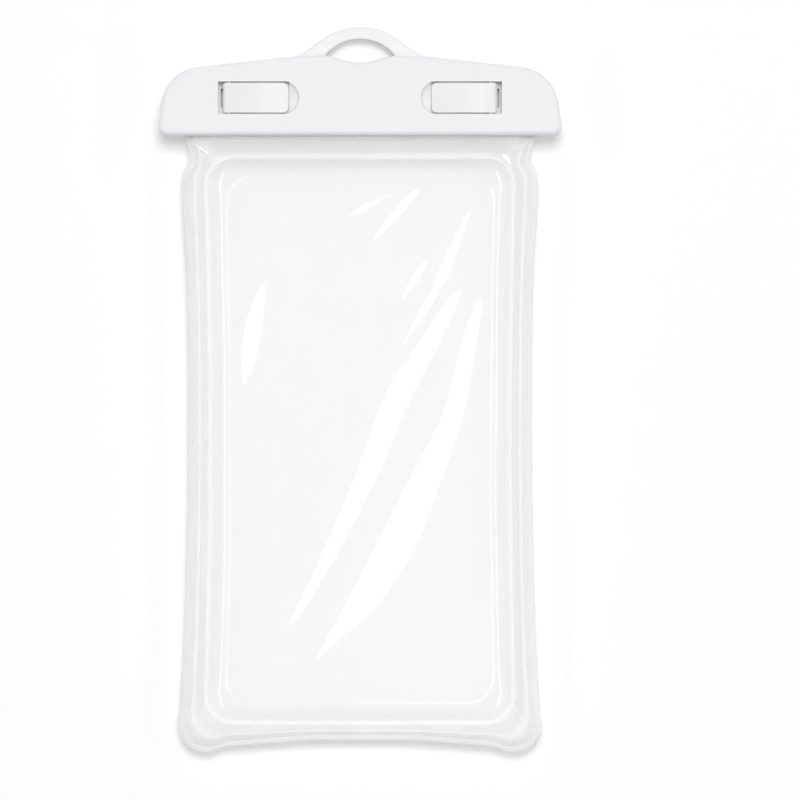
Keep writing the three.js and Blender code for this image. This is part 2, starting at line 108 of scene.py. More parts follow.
# The weld line round the pocket, and how far its bead reaches out from it: inwards is negative.
WELD = {"half_width": 45.9, "waist": 1.5, "top": 69.2, "bottom": -99.1, "radius": 8.2}
WELD_INNER, WELD_OUTER = -0.3, 0.65
BEAD_LIFT = 0.02
BEAD_POINTS = 9
# Share of the bead's height that it keeps along the two ends of the pocket.
BEAD_END_SHARE = 0.2

# The pocket: the film rises beside the weld, and is level but for its waves and facets inside.
SLOPE_WIDTH = 6.0
SLOPE_POWER = 1.8
POCKET_HALF_DEPTH = 4.3
# The waves and facets start and are full at these distances inside the weld, and the rows of the
# mesh lie closer before the second one.
WAVE_START, WAVE_FULL = 1.5, 7.0
# Places of the rows under the rim, as shares of the way out from the weld, and distances between
# the rows of the pocket.
UNDER_RIM = (1, 0.75, 0.5, 0.25)
FRONT_ROW_STEP, REAR_ROW_STEP = 0.5, 1.0
# Slow waves of the film: height, turn for each millimetre of x and of y, and start.
FILM_WAVES = ((0.10, 0.075, 0.05, 0.6), (0.07, -0.04, 0.11, 0))

# Steps round the weld line, for its ends, its sides and each corner: the front film and the welds,
# the rear film, and the rims.
FINE = {"end": 90, "side": 250, "corner": 28}
PLAIN = {"end": 60, "side": 140, "corner": 26}
RIM_LINE = {"end": 90, "side": 220, "corner": 60}

# Long facets of the tight film: share of the full slope, and points of the middle line with widths.
FACETS = (
    (1.0, ((30.8, 29.6, 0), (27.1, 25.2, 4.2), (20.2, 13.3, 5.8), (13.1, 1.1, 7.3), (8.3, -9.1, 7.5),
           (3.9, -20.7, 7.4), (-6, -42.4, 5.2), (-17.3, -64.4, 2.2), (-21.7, -70.1, 0))),
    (1.0, ((35.8, 28.0, 0), (34.5, 22.5, 3.2), (31.6, 10.3, 4.6), (27.1, -9.1, 6.4), (18.2, -29.3, 9.6),
           (11.3, -44.8, 10.6), (1.2, -62.1, 8.2), (-5, -70.1, 4.6), (-14.2, -81.5, 0))),
    (1.0, ((34.8, 58.5, 0), (28.5, 43.5, 2.4), (23, 31, 3.3), (17, 20.5, 2), (11, 10.5, 0))),
    (2.0, ((20.8, 39.9, 0), (16.4, 33.0, 1.9), (11.9, 25.6, 0))),
    (1.0, ((19.4, 61.4, 0), (12, 54, 3), (2.6, 42.8, 0))),
    (1.0, ((13.1, 60.0, 0), (4, 55.4, 2.6), (-7, 49.8, 0))),
    (1.0, ((-27.5, 33.5, 0), (-30.6, 24, 5), (-33, 11, 5.5), (-34.8, -1, 0))),
)
# Full slope of a facet, and how far its edges are rounded.
FACET_SLOPE = 0.085
FACET_EDGE = 0.35
# Beside a facet the film rises back over this share of its width and this much more, and past its
# ends it levels out over the last of these.
FACET_FADE_SHARE, FACET_FADE = 1.6, 1.2
FACET_END_FADE = 2.0
# A facet leaves points alone that are further than this from its middle along x or y.
FACET_NEAR = 75
NARROWEST = 1e-6
CURVE_STEPS = 8
# Soft folds of the rim where it runs into the clamp: two ends, half width and height.
RIM_FOLDS = (
    ((-50.4, 75.4), (-44.0, 69.0), 1.0, 0.45),
    ((50.4, 75.8), (44.6, 70.0), 1.3, 0.55),
)
FOLD_TAPER = 0.7
# Sharp creases on the front rim beside the clamp, as points of their middle line with widths.
CREASE_LIFT = 0.03
CREASE_POINTS = 7
CREASES = (
    ((-50.3, 74.7, 0), (-48.5, 72.9, 0.5), (-46.7, 71.3, 0.85), (-45.5, 70.3, 1.05),
     (-44.8, 69.8, 0)),
    ((42.5, 70.3, 0), (43.1, 69.5, 1.3), (44.0, 68.4, 1.0), (45.3, 66.2, 0)),
)


class BagSettings(bpy.types.PropertyGroup):
    """Shape and finish of the films and the rims."""

    facet_share: FloatProperty(
        name="Facets",
        description="Share of their full slope that the long facets of the front film have",
        default=1.0,
        min=0.0,
        max=3.0,
        subtype="FACTOR",
    )
    streak_height: FloatProperty(
        name="Streak height",
        description="Height of the long ridges along the rim",
        default=0.06 * MM,
        unit="LENGTH",
    )
    bead_overlap: FloatProperty(
        name="Weld overlap",
        description="How far the weld bead runs past the weld on each of its two sides",
        default=0.05 * MM,
        unit="LENGTH",
    )
    bead_height: FloatProperty(
        name="Weld height",
        description="Height of the weld bead above the film",
        default=0.25 * MM,
        unit="LENGTH",
    )
    crease_height: FloatProperty(
        name="Crease height",
        description="Height of the sharp creases above the front rim",
        default=0.2 * MM,
        unit="LENGTH",
    )
    rim_steps: IntProperty(
        name="Rim steps",
        description="Points of the rim's rounded section",
        default=41,
        min=9,
        max=61,
    )
    rim_colour: FloatVectorProperty(
        name="Rim colour",
        description="Colour of the inflated rim where it is dense",
        default=(0.95, 0.95, 0.955),
        subtype="COLOR",
    )
    window_colour: FloatVectorProperty(
        name="Window colour",
        description="Colour of the clear window where it is dense",
        default=(0.92, 0.92, 0.925),
        subtype="COLOR",
    )
    film_density: FloatVectorProperty(
        name="Film density",
        description="How solid one face of the film is, seen head on and edge on",
        default=(0.15, 0.6),
        size=2,
    )
    rim_density: FloatVectorProperty(
        name="Rim density",
        description="How solid one face of the rim is, seen head on and edge on",
        default=(0.42, 0.88),
        size=2,
    )
    rim_roughness: FloatProperty(
        name="Rim roughness",
        description="Roughness of the inflated film's gloss",
        default=0.28,
        min=0.0,
        max=1.0,
        subtype="FACTOR",
    )
    film_roughness: FloatProperty(
        name="Film roughness",
        description="Roughness of the clear film's gloss",
        default=0.11,
        min=0.0,
        max=1.0,
        subtype="FACTOR",
    )


class ClampSettings(bpy.types.PropertyGroup):
    """Shape and finish of the clamp and its levers."""

    edge_radius: FloatProperty(
        name="Edge radius",
        description="Rounding of the clamp bars' edges",
        default=0.3 * MM,
        unit="LENGTH",
    )
    lever_edge_radius: FloatProperty(
        name="Lever edge radius",
        description="Rounding of the levers' edges",
        default=0.42 * MM,
        unit="LENGTH",
    )
    clamp_colour: FloatVectorProperty(
        name="Clamp colour",
        description="Colour of the white moulded plastic",
        default=(0.86, 0.86, 0.875),
        subtype="COLOR",
    )
    clamp_roughness: FloatProperty(
        name="Clamp roughness",
        description="Roughness of the satin plastic",
        default=0.42,
        min=0.0,
        max=1.0,
        subtype="FACTOR",
    )
    lever_colour: FloatVectorProperty(
        name="Lever colour",
        description="Colour of the milky plastic",
        default=(0.88, 0.88, 0.89),
        subtype="COLOR",
    )
    lever_density: FloatVectorProperty(
        name="Lever density",
        description="How solid one face of a lever is, seen head on and edge on",
        default=(0.9, 0.97),
        size=2,
    )
    lever_roughness: FloatProperty(
        name="Lever roughness",
        description="Roughness of the levers' gloss",
        default=0.28,
        min=0.0,
        max=1.0,
        subtype="FACTOR",
    )


class StudioSettings(bpy.types.PropertyGroup):
    """Floor, lamps and camera."""

    floor_colour: FloatVectorProperty(
        name="Floor colour",
        description="Colour of the pale floor",
        default=(0.95, 0.95, 0.95),
        subtype="COLOR",
    )
    floor_glow: FloatProperty(
        name="Floor glow",
        description="Share of the floor's white that the camera sees even in a shadow",
        default=0.15,
        min=0.0,
        max=1.0,
    )
    floor_shade: FloatProperty(
        name="Floor shade",
        description="Share of the floor's own light and shade that the camera sees",
        default=0.88,
        min=0.0,
        max=1.0,
    )
    ambient: FloatProperty(
        name="Ambient",
        description="Strength of the studio's surrounding light",
        default=0.33,
        min=0.0,
        max=3.0,
    )
    key_power: FloatProperty(
        name="Key power",
        description="Power of the main soft lamp",
        default=130.0,
        min=0.0,
        unit="POWER",
    )
    strip_power: FloatProperty(
        name="Strip power",
        description="Power of each long lamp that draws the rim's glints",
        default=2.5,
        min=0.0,
        unit="POWER",
    )
    glare_power: FloatProperty(
        name="Glare power",
        description="Power of the panel whose reflection the film's facets show",
        default=5.0,
        min=0.0,
        unit="POWER",
    )
    camera_height: FloatProperty(
        name="Camera height",
        description="Height of the camera above the floor",
        default=2.5,
        unit="LENGTH",
    )


# Outlines and welds

# Lines whose cross product is smaller than the first value count as parallel, and a normal that
# points up by less than the second one never meets the clamp.
PARALLEL, UPWARDS = 1e-9, 1e-6


def catmull(points, steps):
    """Points of the smooth curve through the given points, with steps for each stretch."""
    known = np.array(points, float)
    last = len(known) - 1
    made = []
    for i in range(last):
        a, b = known[max(i - 1, 0)], known[i]
        c, d = known[i + 1], known[min(i + 2, last)]
        t = np.linspace(0, 1, steps, endpoint=False)[:, None]
        bend = 2 * a - 5 * b + 4 * c - d
        rest = 3 * b - 3 * c + d - a
        made.append(0.5 * (2 * b + (c - a) * t + bend * t**2 + rest * t**3))
    return np.vstack([*made, known[-1:]])


def bag_edge(steps=16):
    """Outer edge of the films, from one end of the mouth round the foot to the other end."""
    angles = np.radians(LOBE_ANGLES)
    lobe = np.stack([LOBE_X + LOBE_RADIUS * np.cos(angles), LOBE_Y + LOBE_RADIUS * np.sin(angles)], 1)
    right = np.vstack([BAG_FOOT, lobe, BAG_SIDE])
    left = right[1:][::-1] * (-1, 1)
    edge = catmull(np.vstack([left, right]), steps)
    ends = np.array([[-MOUTH_HALF_WIDTH, MOUTH_TOP], [MOUTH_HALF_WIDTH, MOUTH_TOP]])
    return np.vstack([ends[:1], edge, ends[1:]])


def inset_line(inset, steps):
    """The weld line moved inwards, anticlockwise from the left end of its foot."""
    half_width = WELD["half_width"] - inset
    top, bottom = WELD["top"] - inset, WELD["bottom"] + inset
    radius = min(WELD["radius"], half_width)
    waist = WELD["waist"] * (half_width - radius) / (WELD["half_width"] - radius)
    centre, half_height = (top + bottom) / 2, (top - bottom) / 2
    low, high = bottom + radius, top - radius
    ends, sides, corners = steps["end"], steps["side"], steps["corner"]

    def width_at(y):
        return half_width - waist * (1 - ((y - centre) / half_height) ** 2)

    low_x, high_x = width_at(low) - radius, width_at(high) - radius

    def corner(x, y, start):
        angle = np.radians(start + 90 * np.arange(corners) / corners)
        return np.stack([x + radius * np.cos(angle), y + radius * np.sin(angle)], 1)

    def side(sign, start, end):
        y = start + (end - start) * np.arange(sides) / sides
        return np.stack([sign * width_at(y), y], 1)

    def end(y, start, stop):
        x = start + (stop - start) * np.arange(ends) / ends
        return np.stack([x, np.full(ends, y)], 1)

    return np.vstack([
        end(bottom, -low_x, low_x),
        corner(low_x, low, -90),
        side(1, low, high),
        corner(high_x, high, 0),
        end(top, high_x, -high_x),
        corner(-high_x, high, 90),
        side(-1, high, low),
        corner(-low_x, low, 180),
    ])


def outward_normals(line):
    """Unit vectors that point out of an anticlockwise closed line."""
    along = np.roll(line, -1, 0) - np.roll(line, 1, 0)
    across = np.stack([along[:, 1], -along[:, 0]], 1)
    return across / np.linalg.norm(across, axis=1, keepdims=True)


def cross(a, b):
    """The upright part of the cross product of plane vectors."""
    return a[..., 0] * b[..., 1] - a[..., 1] * b[..., 0]


def reaches(starts, directions, line):
    """Distance from each start along its direction to the first place where it meets the line."""
    along = np.roll(line, -1, 0) - line
    offset = line[None] - starts[:, None]
    turn = cross(directions[:, None], along[None])
    turn = np.where(np.abs(turn) < PARALLEL, PARALLEL, turn)
    distance = cross(offset, along[None]) / turn
    share = cross(offset, directions[:, None]) / turn
    hit = (distance > 0) & (share >= 0) & (share <= 1)
    return np.where(hit, distance, np.inf).min(1)


def smooth_step(value, low, high):
    """A share that rises smoothly from 0 at low to 1 at high."""
    t = np.clip((value - low) / (high - low), 0, 1)
    return t * t * (3 - 2 * t)


def fold_lift(xy, folds):
    """Height that long folds add at each point, tapering to nothing at their ends."""
    lift = np.zeros(xy.shape[:-1])
    for start, end, half_width, height in folds:
        start, end = np.array(start), np.array(end)
        along = end - start
        share = ((xy - start) @ along) / (along @ along)
        foot = start + np.clip(share, 0, 1)[..., None] * along
        gap = np.linalg.norm(xy - foot, axis=-1)
        taper = np.sin(np.pi * np.clip(share, 0, 1)) ** FOLD_TAPER
        lift += height * taper * np.exp(-((gap / half_width) ** 2))
    return lift


# Meshes

# Points closer than these, in metres, are one point.
SAME_PLACE, SAME_CAD_PLACE = 1e-6, 2e-6
# Edges of a CAD node that are flatter than the first angle go, and those sharper than the second
# are rounded.
FLAT_ANGLE, SHARP_ANGLE = math.radians(1), math.radians(40)
BEVEL_STEPS = 3


def new_piece(name, positions, faces):
    """A smooth mesh object from positions in millimetres and faces, riding on the root."""
    mesh = bpy.data.meshes.new(name)
    mesh.from_pydata((positions * MM).tolist(), [], faces)
    mesh.validate()
    bm = bmesh.new()
    bm.from_mesh(mesh)
    bmesh.ops.remove_doubles(bm, verts=bm.verts, dist=SAME_PLACE)
    bmesh.ops.recalc_face_normals(bm, faces=bm.faces)
    bm.to_mesh(mesh)
    bm.free()
    mesh.polygons.foreach_set("use_smooth", [True] * len(mesh.polygons))
    piece = bpy.data.objects.new(name, mesh)
    bpy.context.scene.collection.objects.link(piece)
    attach(piece, "root")
    return piece


def ring_faces(rows, columns):
    """Quads of a grid whose rows are closed lines."""
    r, c = np.meshgrid(np.arange(rows - 1), np.arange(columns), indexing="ij")
    here, beside = r * columns + c, r * columns + (c + 1) % columns
    quads = [here, beside, beside + columns, here + columns]
    return np.stack(quads, -1).reshape(-1, 4).tolist()


def strip_faces(rows, columns, closed=True):
    """Quads of a strip of open rows across it; if closed, its last row joins the first."""
    stretches = rows if closed else rows - 1
    r, c = np.meshgrid(np.arange(stretches), np.arange(columns - 1), indexing="ij")
    here, following = r * columns + c, (r + 1) % rows * columns + c
    quads = [here, following, following + 1, here + 1]
    return np.stack(quads, -1).reshape(-1, 4).tolist()


def facet_lift(xy, slope_share, points):
    """Height of one long facet: a steady fall across its width, and a slow rise on both sides."""
    middle = catmull(points, CURVE_STEPS)
    place, width = middle[:, :2], middle[:, 2]
    start, along = place[:-1], np.diff(place, axis=0)
    length = (along**2).sum(1)
    lift = np.zeros(len(xy))
    near = np.abs(xy - place.mean(0)).max(1) < FACET_NEAR
    offset = xy[near][:, None] - start[None]
    share = np.clip((offset * along).sum(2) / length, 0, 1)
    gap = offset - share[..., None] * along
    closest = (gap**2).sum(2).argmin(1)
    row = np.arange(len(closest))
    gap, share = gap[row, closest], share[row, closest]
    span = np.maximum(width[closest] + (width[closest + 1] - width[closest]) * share, NARROWEST)
    direction = along[closest] / np.sqrt(length[closest])[:, None]
    side = gap[:, 0] * direction[:, 1] - gap[:, 1] * direction[:, 0]
    off_end = np.abs((gap * direction).sum(1))
    inner = np.sqrt((np.abs(side) - span / 2) ** 2 + FACET_EDGE**2)
    outer = np.sqrt((np.abs(side) + span / 2) ** 2 + FACET_EDGE**2)
    drop = np.sign(side) * (outer - inner) / 2
    beside = np.maximum(np.abs(side) - span / 2, 0) / (FACET_FADE_SHARE * span + FACET_FADE)
    fade = np.exp(-(beside**2) - (off_end / FACET_END_FADE) ** 2)
    lift[near] = slope_share * FACET_SLOPE * drop * fade
    return lift


def level_row(xy, height):
    """A row of points at one height, or each at its own."""
    return np.column_stack([xy, np.full(len(xy), height)])


def edge_positions(steps):
    """Rows of the welded edge: a rounded hem, and a flat band that ends under the rim."""
    weld = inset_line(0, steps)
    normals = outward_normals(weld)
    reach = reaches(weld, normals, bag_edge())
    rows = []
    for inset, share in HEM:
        xy = weld + normals * (reach - inset)[:, None]
        rows.append(level_row(xy, MIDDLE + share * (FLAT - MIDDLE)))
    return np.array(rows)


def film_positions(steps, inset_step, facet_share):
    """Rows of the film's outer face, from under the rim to the middle of its pocket."""
    weld = inset_line(0, steps)
    normals = outward_normals(weld)
    reach = reaches(weld, normals, bag_edge()) - HEM[-1][0]
    rows = [level_row(weld + normals * (reach * share)[:, None], FLAT) for share in UNDER_RIM]
    last = WELD["half_width"]
    close = np.arange(0, WAVE_FULL, inset_step / 2)
    insets = np.concatenate([close, np.arange(WAVE_FULL, last, inset_step), [last]])
    rise = MIDDLE + POCKET_HALF_DEPTH - FLAT
    for inset in insets:
        xy = inset_line(inset, steps)
        share = (inset + WELD_INNER) / (SLOPE_WIDTH + WELD_INNER)
        climb = 1 - (1 - min(max(share, 0), 1)) ** SLOPE_POWER
        inside = smooth_step(inset, WAVE_START, WAVE_FULL)
        waves = film_wave(xy)
        if facet_share > 0:
            waves = waves + facet_share * sum(facet_lift(xy, *facet) for facet in FACETS)
        rows.append(level_row(xy, FLAT + rise * climb + inside * waves))
    return np.array(rows)


def film_wave(xy):
    """The slow unevenness of a drawn film."""
    x, y = xy[..., 0], xy[..., 1]
    return sum(height * np.sin(a * x + b * y + start) for height, a, b, start in FILM_WAVES)


def placed(positions, side):
    """Points of a front piece, or mirrored for the rear one across the plane where they meet."""
    points = positions.reshape(-1, 3)
    if side == "rear":
        return points * (1, 1, -1) + (0, 0, THICKNESS)
    return points


def make_film(name, settings, side):
    """The film of one side, but for its welded edge."""
    if side == "rear":
        rows = film_positions(PLAIN, REAR_ROW_STEP, 0)
    else:
        rows = film_positions(FINE, FRONT_ROW_STEP, settings.facet_share)
    return new_film_piece(name, rows, side)


def make_outer_weld(name, side):
    """The edge of a film, where it is welded to the other one."""
    return new_film_piece(name, edge_positions(PLAIN if side == "rear" else FINE), side)


def new_film_piece(name, rows, side):
    """A piece of clear film from the closed lines that it runs through."""
    piece = new_piece(name, placed(rows, side), ring_faces(*rows.shape[:2]))
    return piece


def rim_crown(across, facing_clamp):
    """Height of the rim across its width, as a share, for each row of the rim."""
    power = RIM_INNER_POWER + (RIM_OUTER_POWER - RIM_INNER_POWER) * across
    crown = np.sin(math.pi * across**RIM_SKEW).clip(0)[None] ** power
    rising = smooth_step(across, 0, CLAMP_CROWN_REACH)
    clamp_crown = np.sin(math.pi / 2 * rising)[None] ** CLAMP_CROWN_POWER
    return crown + (clamp_crown - crown) * smooth_step(facing_clamp, *CLAMP_CROWN_BLEND)[:, None]


def rim_positions(settings, side):
    """Sections of the inflated rim: a crown with long ridges and folds, on the weld's line."""
    weld = inset_line(0, RIM_LINE)
    normals = outward_normals(weld)
    upwards = normals[:, 1]
    rising = np.where(upwards > UPWARDS, upwards, UPWARDS)
    limit = np.where(upwards > UPWARDS, (RIM_TOP - weld[:, 1]) / rising, np.inf)
    width = np.minimum(reaches(weld, normals, bag_edge()) - FLANGE, limit) - WELD_OUTER
    beside_clamp = smooth_step(weld[:, 1], *RIM_TOP_BLEND)
    share = RIM_SHARE[side] + (RIM_TOP_SHARE[side] - RIM_SHARE[side]) * beside_clamp
    height = RIM_FULL_HEIGHT * np.tanh(width / RIM_FULLNESS) * share
    across = (1 - np.cos(np.linspace(0, math.pi, settings.rim_steps))) / 2
    crown = rim_crown(across, upwards)
    ridge = sum(part * np.exp(-(((across - place) / half) ** 2)) for place, half, part in RIM_RIDGES)
    turn = 2 * math.pi * np.arange(len(weld)) / len(weld)
    waves = sum(part * np.sin(count * turn + start) for part, count, start in RIM_WAVES)
    swell = 1 - RIDGE_SWELL + RIDGE_SWELL * np.sin(RIDGE_SWELLS * turn)
    streak = settings.streak_height / MM * swell
    out = WELD_OUTER + width[:, None] * across[None]
    xy = weld[:, None] + normals[:, None] * out[..., None]
    lift = (height + waves)[:, None] * crown + streak[:, None] * ridge[None]
    lift += fold_lift(xy, RIM_FOLDS) * crown
    lift[:, 0] = 0
    return np.dstack([xy, FLAT + RIM_LIFT + np.maximum(lift, 0)])


def make_rim(name, settings, side):
    """The inflated rim of one side, a shell that stands on the film."""
    sections = rim_positions(settings, side)
    piece = new_piece(name, placed(sections, side), strip_faces(*sections.shape[:2]))
    return piece


def make_weld(name, settings, side):
    """The bead of molten film along the inner weld, a low dome that stands on the film."""
    weld = inset_line(0, FINE)
    normals = outward_normals(weld)
    height = settings.bead_height / MM
    angles = np.linspace(0, math.pi, BEAD_POINTS)
    half_width = (WELD_OUTER - WELD_INNER) / 2 + settings.bead_overlap / MM
    out = (WELD_OUTER + WELD_INNER) / 2 - half_width * np.cos(angles)
    xy = weld[:, None] + normals[:, None] * out[None, :, None]
    share = BEAD_END_SHARE + (1 - BEAD_END_SHARE) * (1 - np.abs(normals[:, 1]) ** 3)
    lift = height * share[:, None] * np.sin(angles)[None]
    sections = np.dstack([xy, FLAT + BEAD_LIFT + lift])
    piece = new_piece(name, placed(sections, side), strip_faces(*sections.shape[:2]))
    return piece


def crease_ribbon(crease, height):
    """Places across one crease, and how far each stands above the rim."""
    points = catmull(crease, CURVE_STEPS)
    place, half_width = points[:, :2], points[:, 2].clip(0) / 2
    across = np.linspace(-1, 1, CREASE_POINTS)
    along = np.gradient(place, axis=0)
    length = np.linalg.norm(along, axis=1, keepdims=True)
    sideways = np.stack([along[:, 1], -along[:, 0]], 1) / length
    xy = place[:, None] + sideways[:, None] * (half_width[:, None] * across)[..., None]
    lift = height * (1 - across**2)[None] * (half_width / half_width.max())[:, None]
    return xy, lift


def make_creases(name, settings, rim):
    """Thin sharp creases that stand on a rim, each a tapered ridge."""
    corners = [v.co for v in rim.data.vertices]
    surface = BVHTree.FromPolygons(corners, [tuple(p.vertices) for p in rim.data.polygons])
    positions, faces = [], []
    for crease in CREASES:
        xy, lifts = crease_ribbon(crease, settings.crease_height / MM)
        first = len(positions)
        for (x, y), lift in zip(xy.reshape(-1, 2), lifts.ravel()):
            above = Vector((x * MM, y * MM, THICKNESS * MM))
            hit = surface.ray_cast(above, Vector((0, 0, -1)))[0]
            positions.append((x, y, hit.z / MM + CREASE_LIFT + lift))
        quads = strip_faces(*xy.shape[:2], closed=False)
        faces += [tuple(first + i for i in quad) for quad in quads]
    piece = new_piece(name, np.array(positions), faces)
    return piece


def moulded_copy(node, body, edge_radius):
    """A copy of a CAD node with its sharp edges rounded, shaded smoothly, in the node's place."""
    name = node + "_moulded"
    piece = bpy.data.objects.new(name, NODES[node].data.copy())
    bpy.context.scene.collection.objects.link(piece)
    bm = bmesh.new()
    bm.from_mesh(piece.data)
    bmesh.ops.remove_doubles(bm, verts=bm.verts, dist=SAME_CAD_PLACE)
    bmesh.ops.dissolve_limit(bm, angle_limit=FLAT_ANGLE, verts=bm.verts, edges=bm.edges)
    bm.to_mesh(piece.data)
    bm.free()
    piece.data.polygons.foreach_set("use_smooth", [True] * len(piece.data.polygons))
    bevel = piece.modifiers.new("rounded edges", "BEVEL")
    bevel.width = edge_radius
    bevel.segments = BEVEL_STEPS
    bevel.limit_method = "ANGLE"
    bevel.angle_limit = SHARP_ANGLE
    bevel.use_clamp_overlap = True
    bevel.harden_normals = True
    weighted = piece.modifiers.new("even shading", "WEIGHTED_NORMAL")
    weighted.keep_sharp = True
    apply_modifiers(piece)
    piece.data.materials.clear()
    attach(piece, body)
    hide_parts(node)
    return piece


def apply_modifiers(piece):
    """Makes what the modifiers give the piece's own mesh."""
    graph = bpy.context.evaluated_depsgraph_get()
    made = bpy.data.meshes.new_from_object(piece.evaluated_get(graph))
    piece.modifiers.clear()
    piece.data = made


# Materials

WHITE = (1, 1, 1, 1)
# Sizes of the noises, in features per metre.
CLAMP_GRAIN, CLAMP_CLOUDS = 2600, 60
LEVER_CLOUDS, FILM_CLOUDS, RIM_CLOUDS = 120, 30, 45
SEAL_GRAIN, SEAL_CLOUDS, STEEL_LINES = 1800, 300, 900
# How far the colours stray from their mean, as a share.
CLAMP_STRAY, CLEAR_STRAY, SEAL_STRAY, STEEL_STRAY = 0.008, 0.012, 0.03, 0.08
# Share of a lamp's light that comes through the levers, and through a film or rim.
LEVER_PASSES, FILM_PASSES = 0.4, 0.8
# How far the satin roughness strays, and how much rougher a clear plastic is below its gloss.
SATIN_SPREAD = 0.05
MILK_ROUGHNESS = (0.1, 0.2)
# How a clear plastic gets denser and glossier edge on, and its gloss face on and edge on.
DENSITY_POWER, GLOSS_POWER = 1.6, 4.5
FACE_GLOSS, EDGE_GLOSS = 0.045, 0.75
# Clouds of a clear plastic are longer along the pouch, and the lines of drawn steel much longer.
FLOW = (1, 0.35, 1)
LINES = (1, 0.05, 1)
# Depth of the moulded grain in metres, and how strongly it shows.
GRAIN_DEPTH = 0.00005
CLAMP_GRAIN_SHARE, SEAL_GRAIN_SHARE = 0.12, 0.2
CLAMP_SPECULAR = 0.45
SHEEN_ROUGHNESS = 0.4
SEAL_ROUGHNESS = 0.6
STEEL_ROUGHNESS = (0.25, 0.4)
SEAL_COLOUR = (0.72, 0.72, 0.7)
STEEL_COLOUR = (0.55, 0.56, 0.57)
MILKY = (0.95, 0.95, 0.955)
# Finishes of the thin pieces, as clear_plastic takes them.
WELD_FINISH = {
    "colour": MILKY, "density": (0.42, 0.92), "roughness": 0.22, "clouds": 90,
    "passes": FILM_PASSES, "sheen": 0.4,
}
EDGE_FINISH = {
    "colour": (0.955, 0.955, 0.96), "density": (0.38, 0.72), "roughness": 0.35, "clouds": 90,
    "passes": 0.18, "sheen": 0.4,
}
CREASE_FINISH = {
    "colour": MILKY, "density": (0.6, 0.9), "roughness": 0.2, "clouds": 200, "passes": 0.85,
    "sheen": 0.4, "gloss": 0.6,
}


def new_material(name):
    """A material with only its output node, and that node."""
    material = bpy.data.materials.new(name)
    material.use_nodes = True
    tree = material.node_tree
    tree.nodes.clear()
    return material, tree, tree.nodes.new("ShaderNodeOutputMaterial")


def add_node(tree, kind, **values):
    """A new node whose input sockets, named with underscores, get values or links."""
    made = tree.nodes.new(kind)
    for name, value in values.items():
        socket = made.inputs[name.replace("_", " ")]
        if isinstance(value, bpy.types.NodeSocket):
            tree.links.new(value, socket)
        else:
            socket.default_value = value
    return made


def noise(tree, scale, detail=2.0, stretch=(1, 1, 1)):
    """Noise in the piece's own space, in features per metre."""
    place = tree.nodes.new("ShaderNodeTexCoord")
    mapping = add_node(tree, "ShaderNodeMapping", Vector=place.outputs["Object"], Scale=stretch)
    made = add_node(tree, "ShaderNodeTexNoise", Vector=mapping.outputs[0], Scale=scale, Detail=detail)
    return made.outputs["Fac"]


def ranged(tree, value, low, high):
    """A value from 0 to 1 spread over another range."""
    made = tree.nodes.new("ShaderNodeMapRange")
    tree.links.new(value, made.inputs["Value"])
    made.inputs["To Min"].default_value = low
    made.inputs["To Max"].default_value = high
    return made.outputs["Result"]


def varied_colour(tree, value, colour, spread):
    """The colour, a little darker or lighter by a value from 0 to 1."""
    ramp = tree.nodes.new("ShaderNodeValToRGB")
    dark, light = ramp.color_ramp.elements
    dark.position, light.position = 0.3, 0.7
    dark.color = (*(c * (1 - spread) for c in colour), 1)
    light.color = (*(min(c * (1 + spread), 1) for c in colour), 1)
    tree.links.new(value, ramp.inputs["Fac"])
    return ramp.outputs["Color"]


def bumped(tree, height, strength):
    """A normal from a fine grain's height."""
    made = add_node(tree, "ShaderNodeBump", Height=height, Strength=strength, Distance=GRAIN_DEPTH)
    return made.outputs["Normal"]


def edge_share(tree, power, low, high):
    """A share that grows from low, face on, to high, edge on, the same on both sides of a film."""
    facing = add_node(tree, "ShaderNodeLayerWeight", Blend=0.5)
    curve = tree.nodes.new("ShaderNodeMath")
    curve.operation = "POWER"
    tree.links.new(facing.outputs["Facing"], curve.inputs[0])
    curve.inputs[1].default_value = power
    return ranged(tree, curve.outputs[0], low, high)


def satin_plastic(settings):
    """The clamp's white plastic, with a fine moulded grain."""
    material, tree, output = new_material("satin white plastic")
    grain = noise(tree, CLAMP_GRAIN, 3)
    clouds = noise(tree, CLAMP_CLOUDS)
    rough = settings.clamp_roughness
    shader = add_node(
        tree,
        "ShaderNodeBsdfPrincipled",
        Base_Color=varied_colour(tree, clouds, settings.clamp_colour, CLAMP_STRAY),
        Roughness=ranged(tree, clouds, rough - SATIN_SPREAD, rough + SATIN_SPREAD),
        Normal=bumped(tree, grain, CLAMP_GRAIN_SHARE),
    )
    shader.inputs["Specular IOR Level"].default_value = CLAMP_SPECULAR
    tree.links.new(shader.outputs[0], output.inputs["Surface"])
    return material


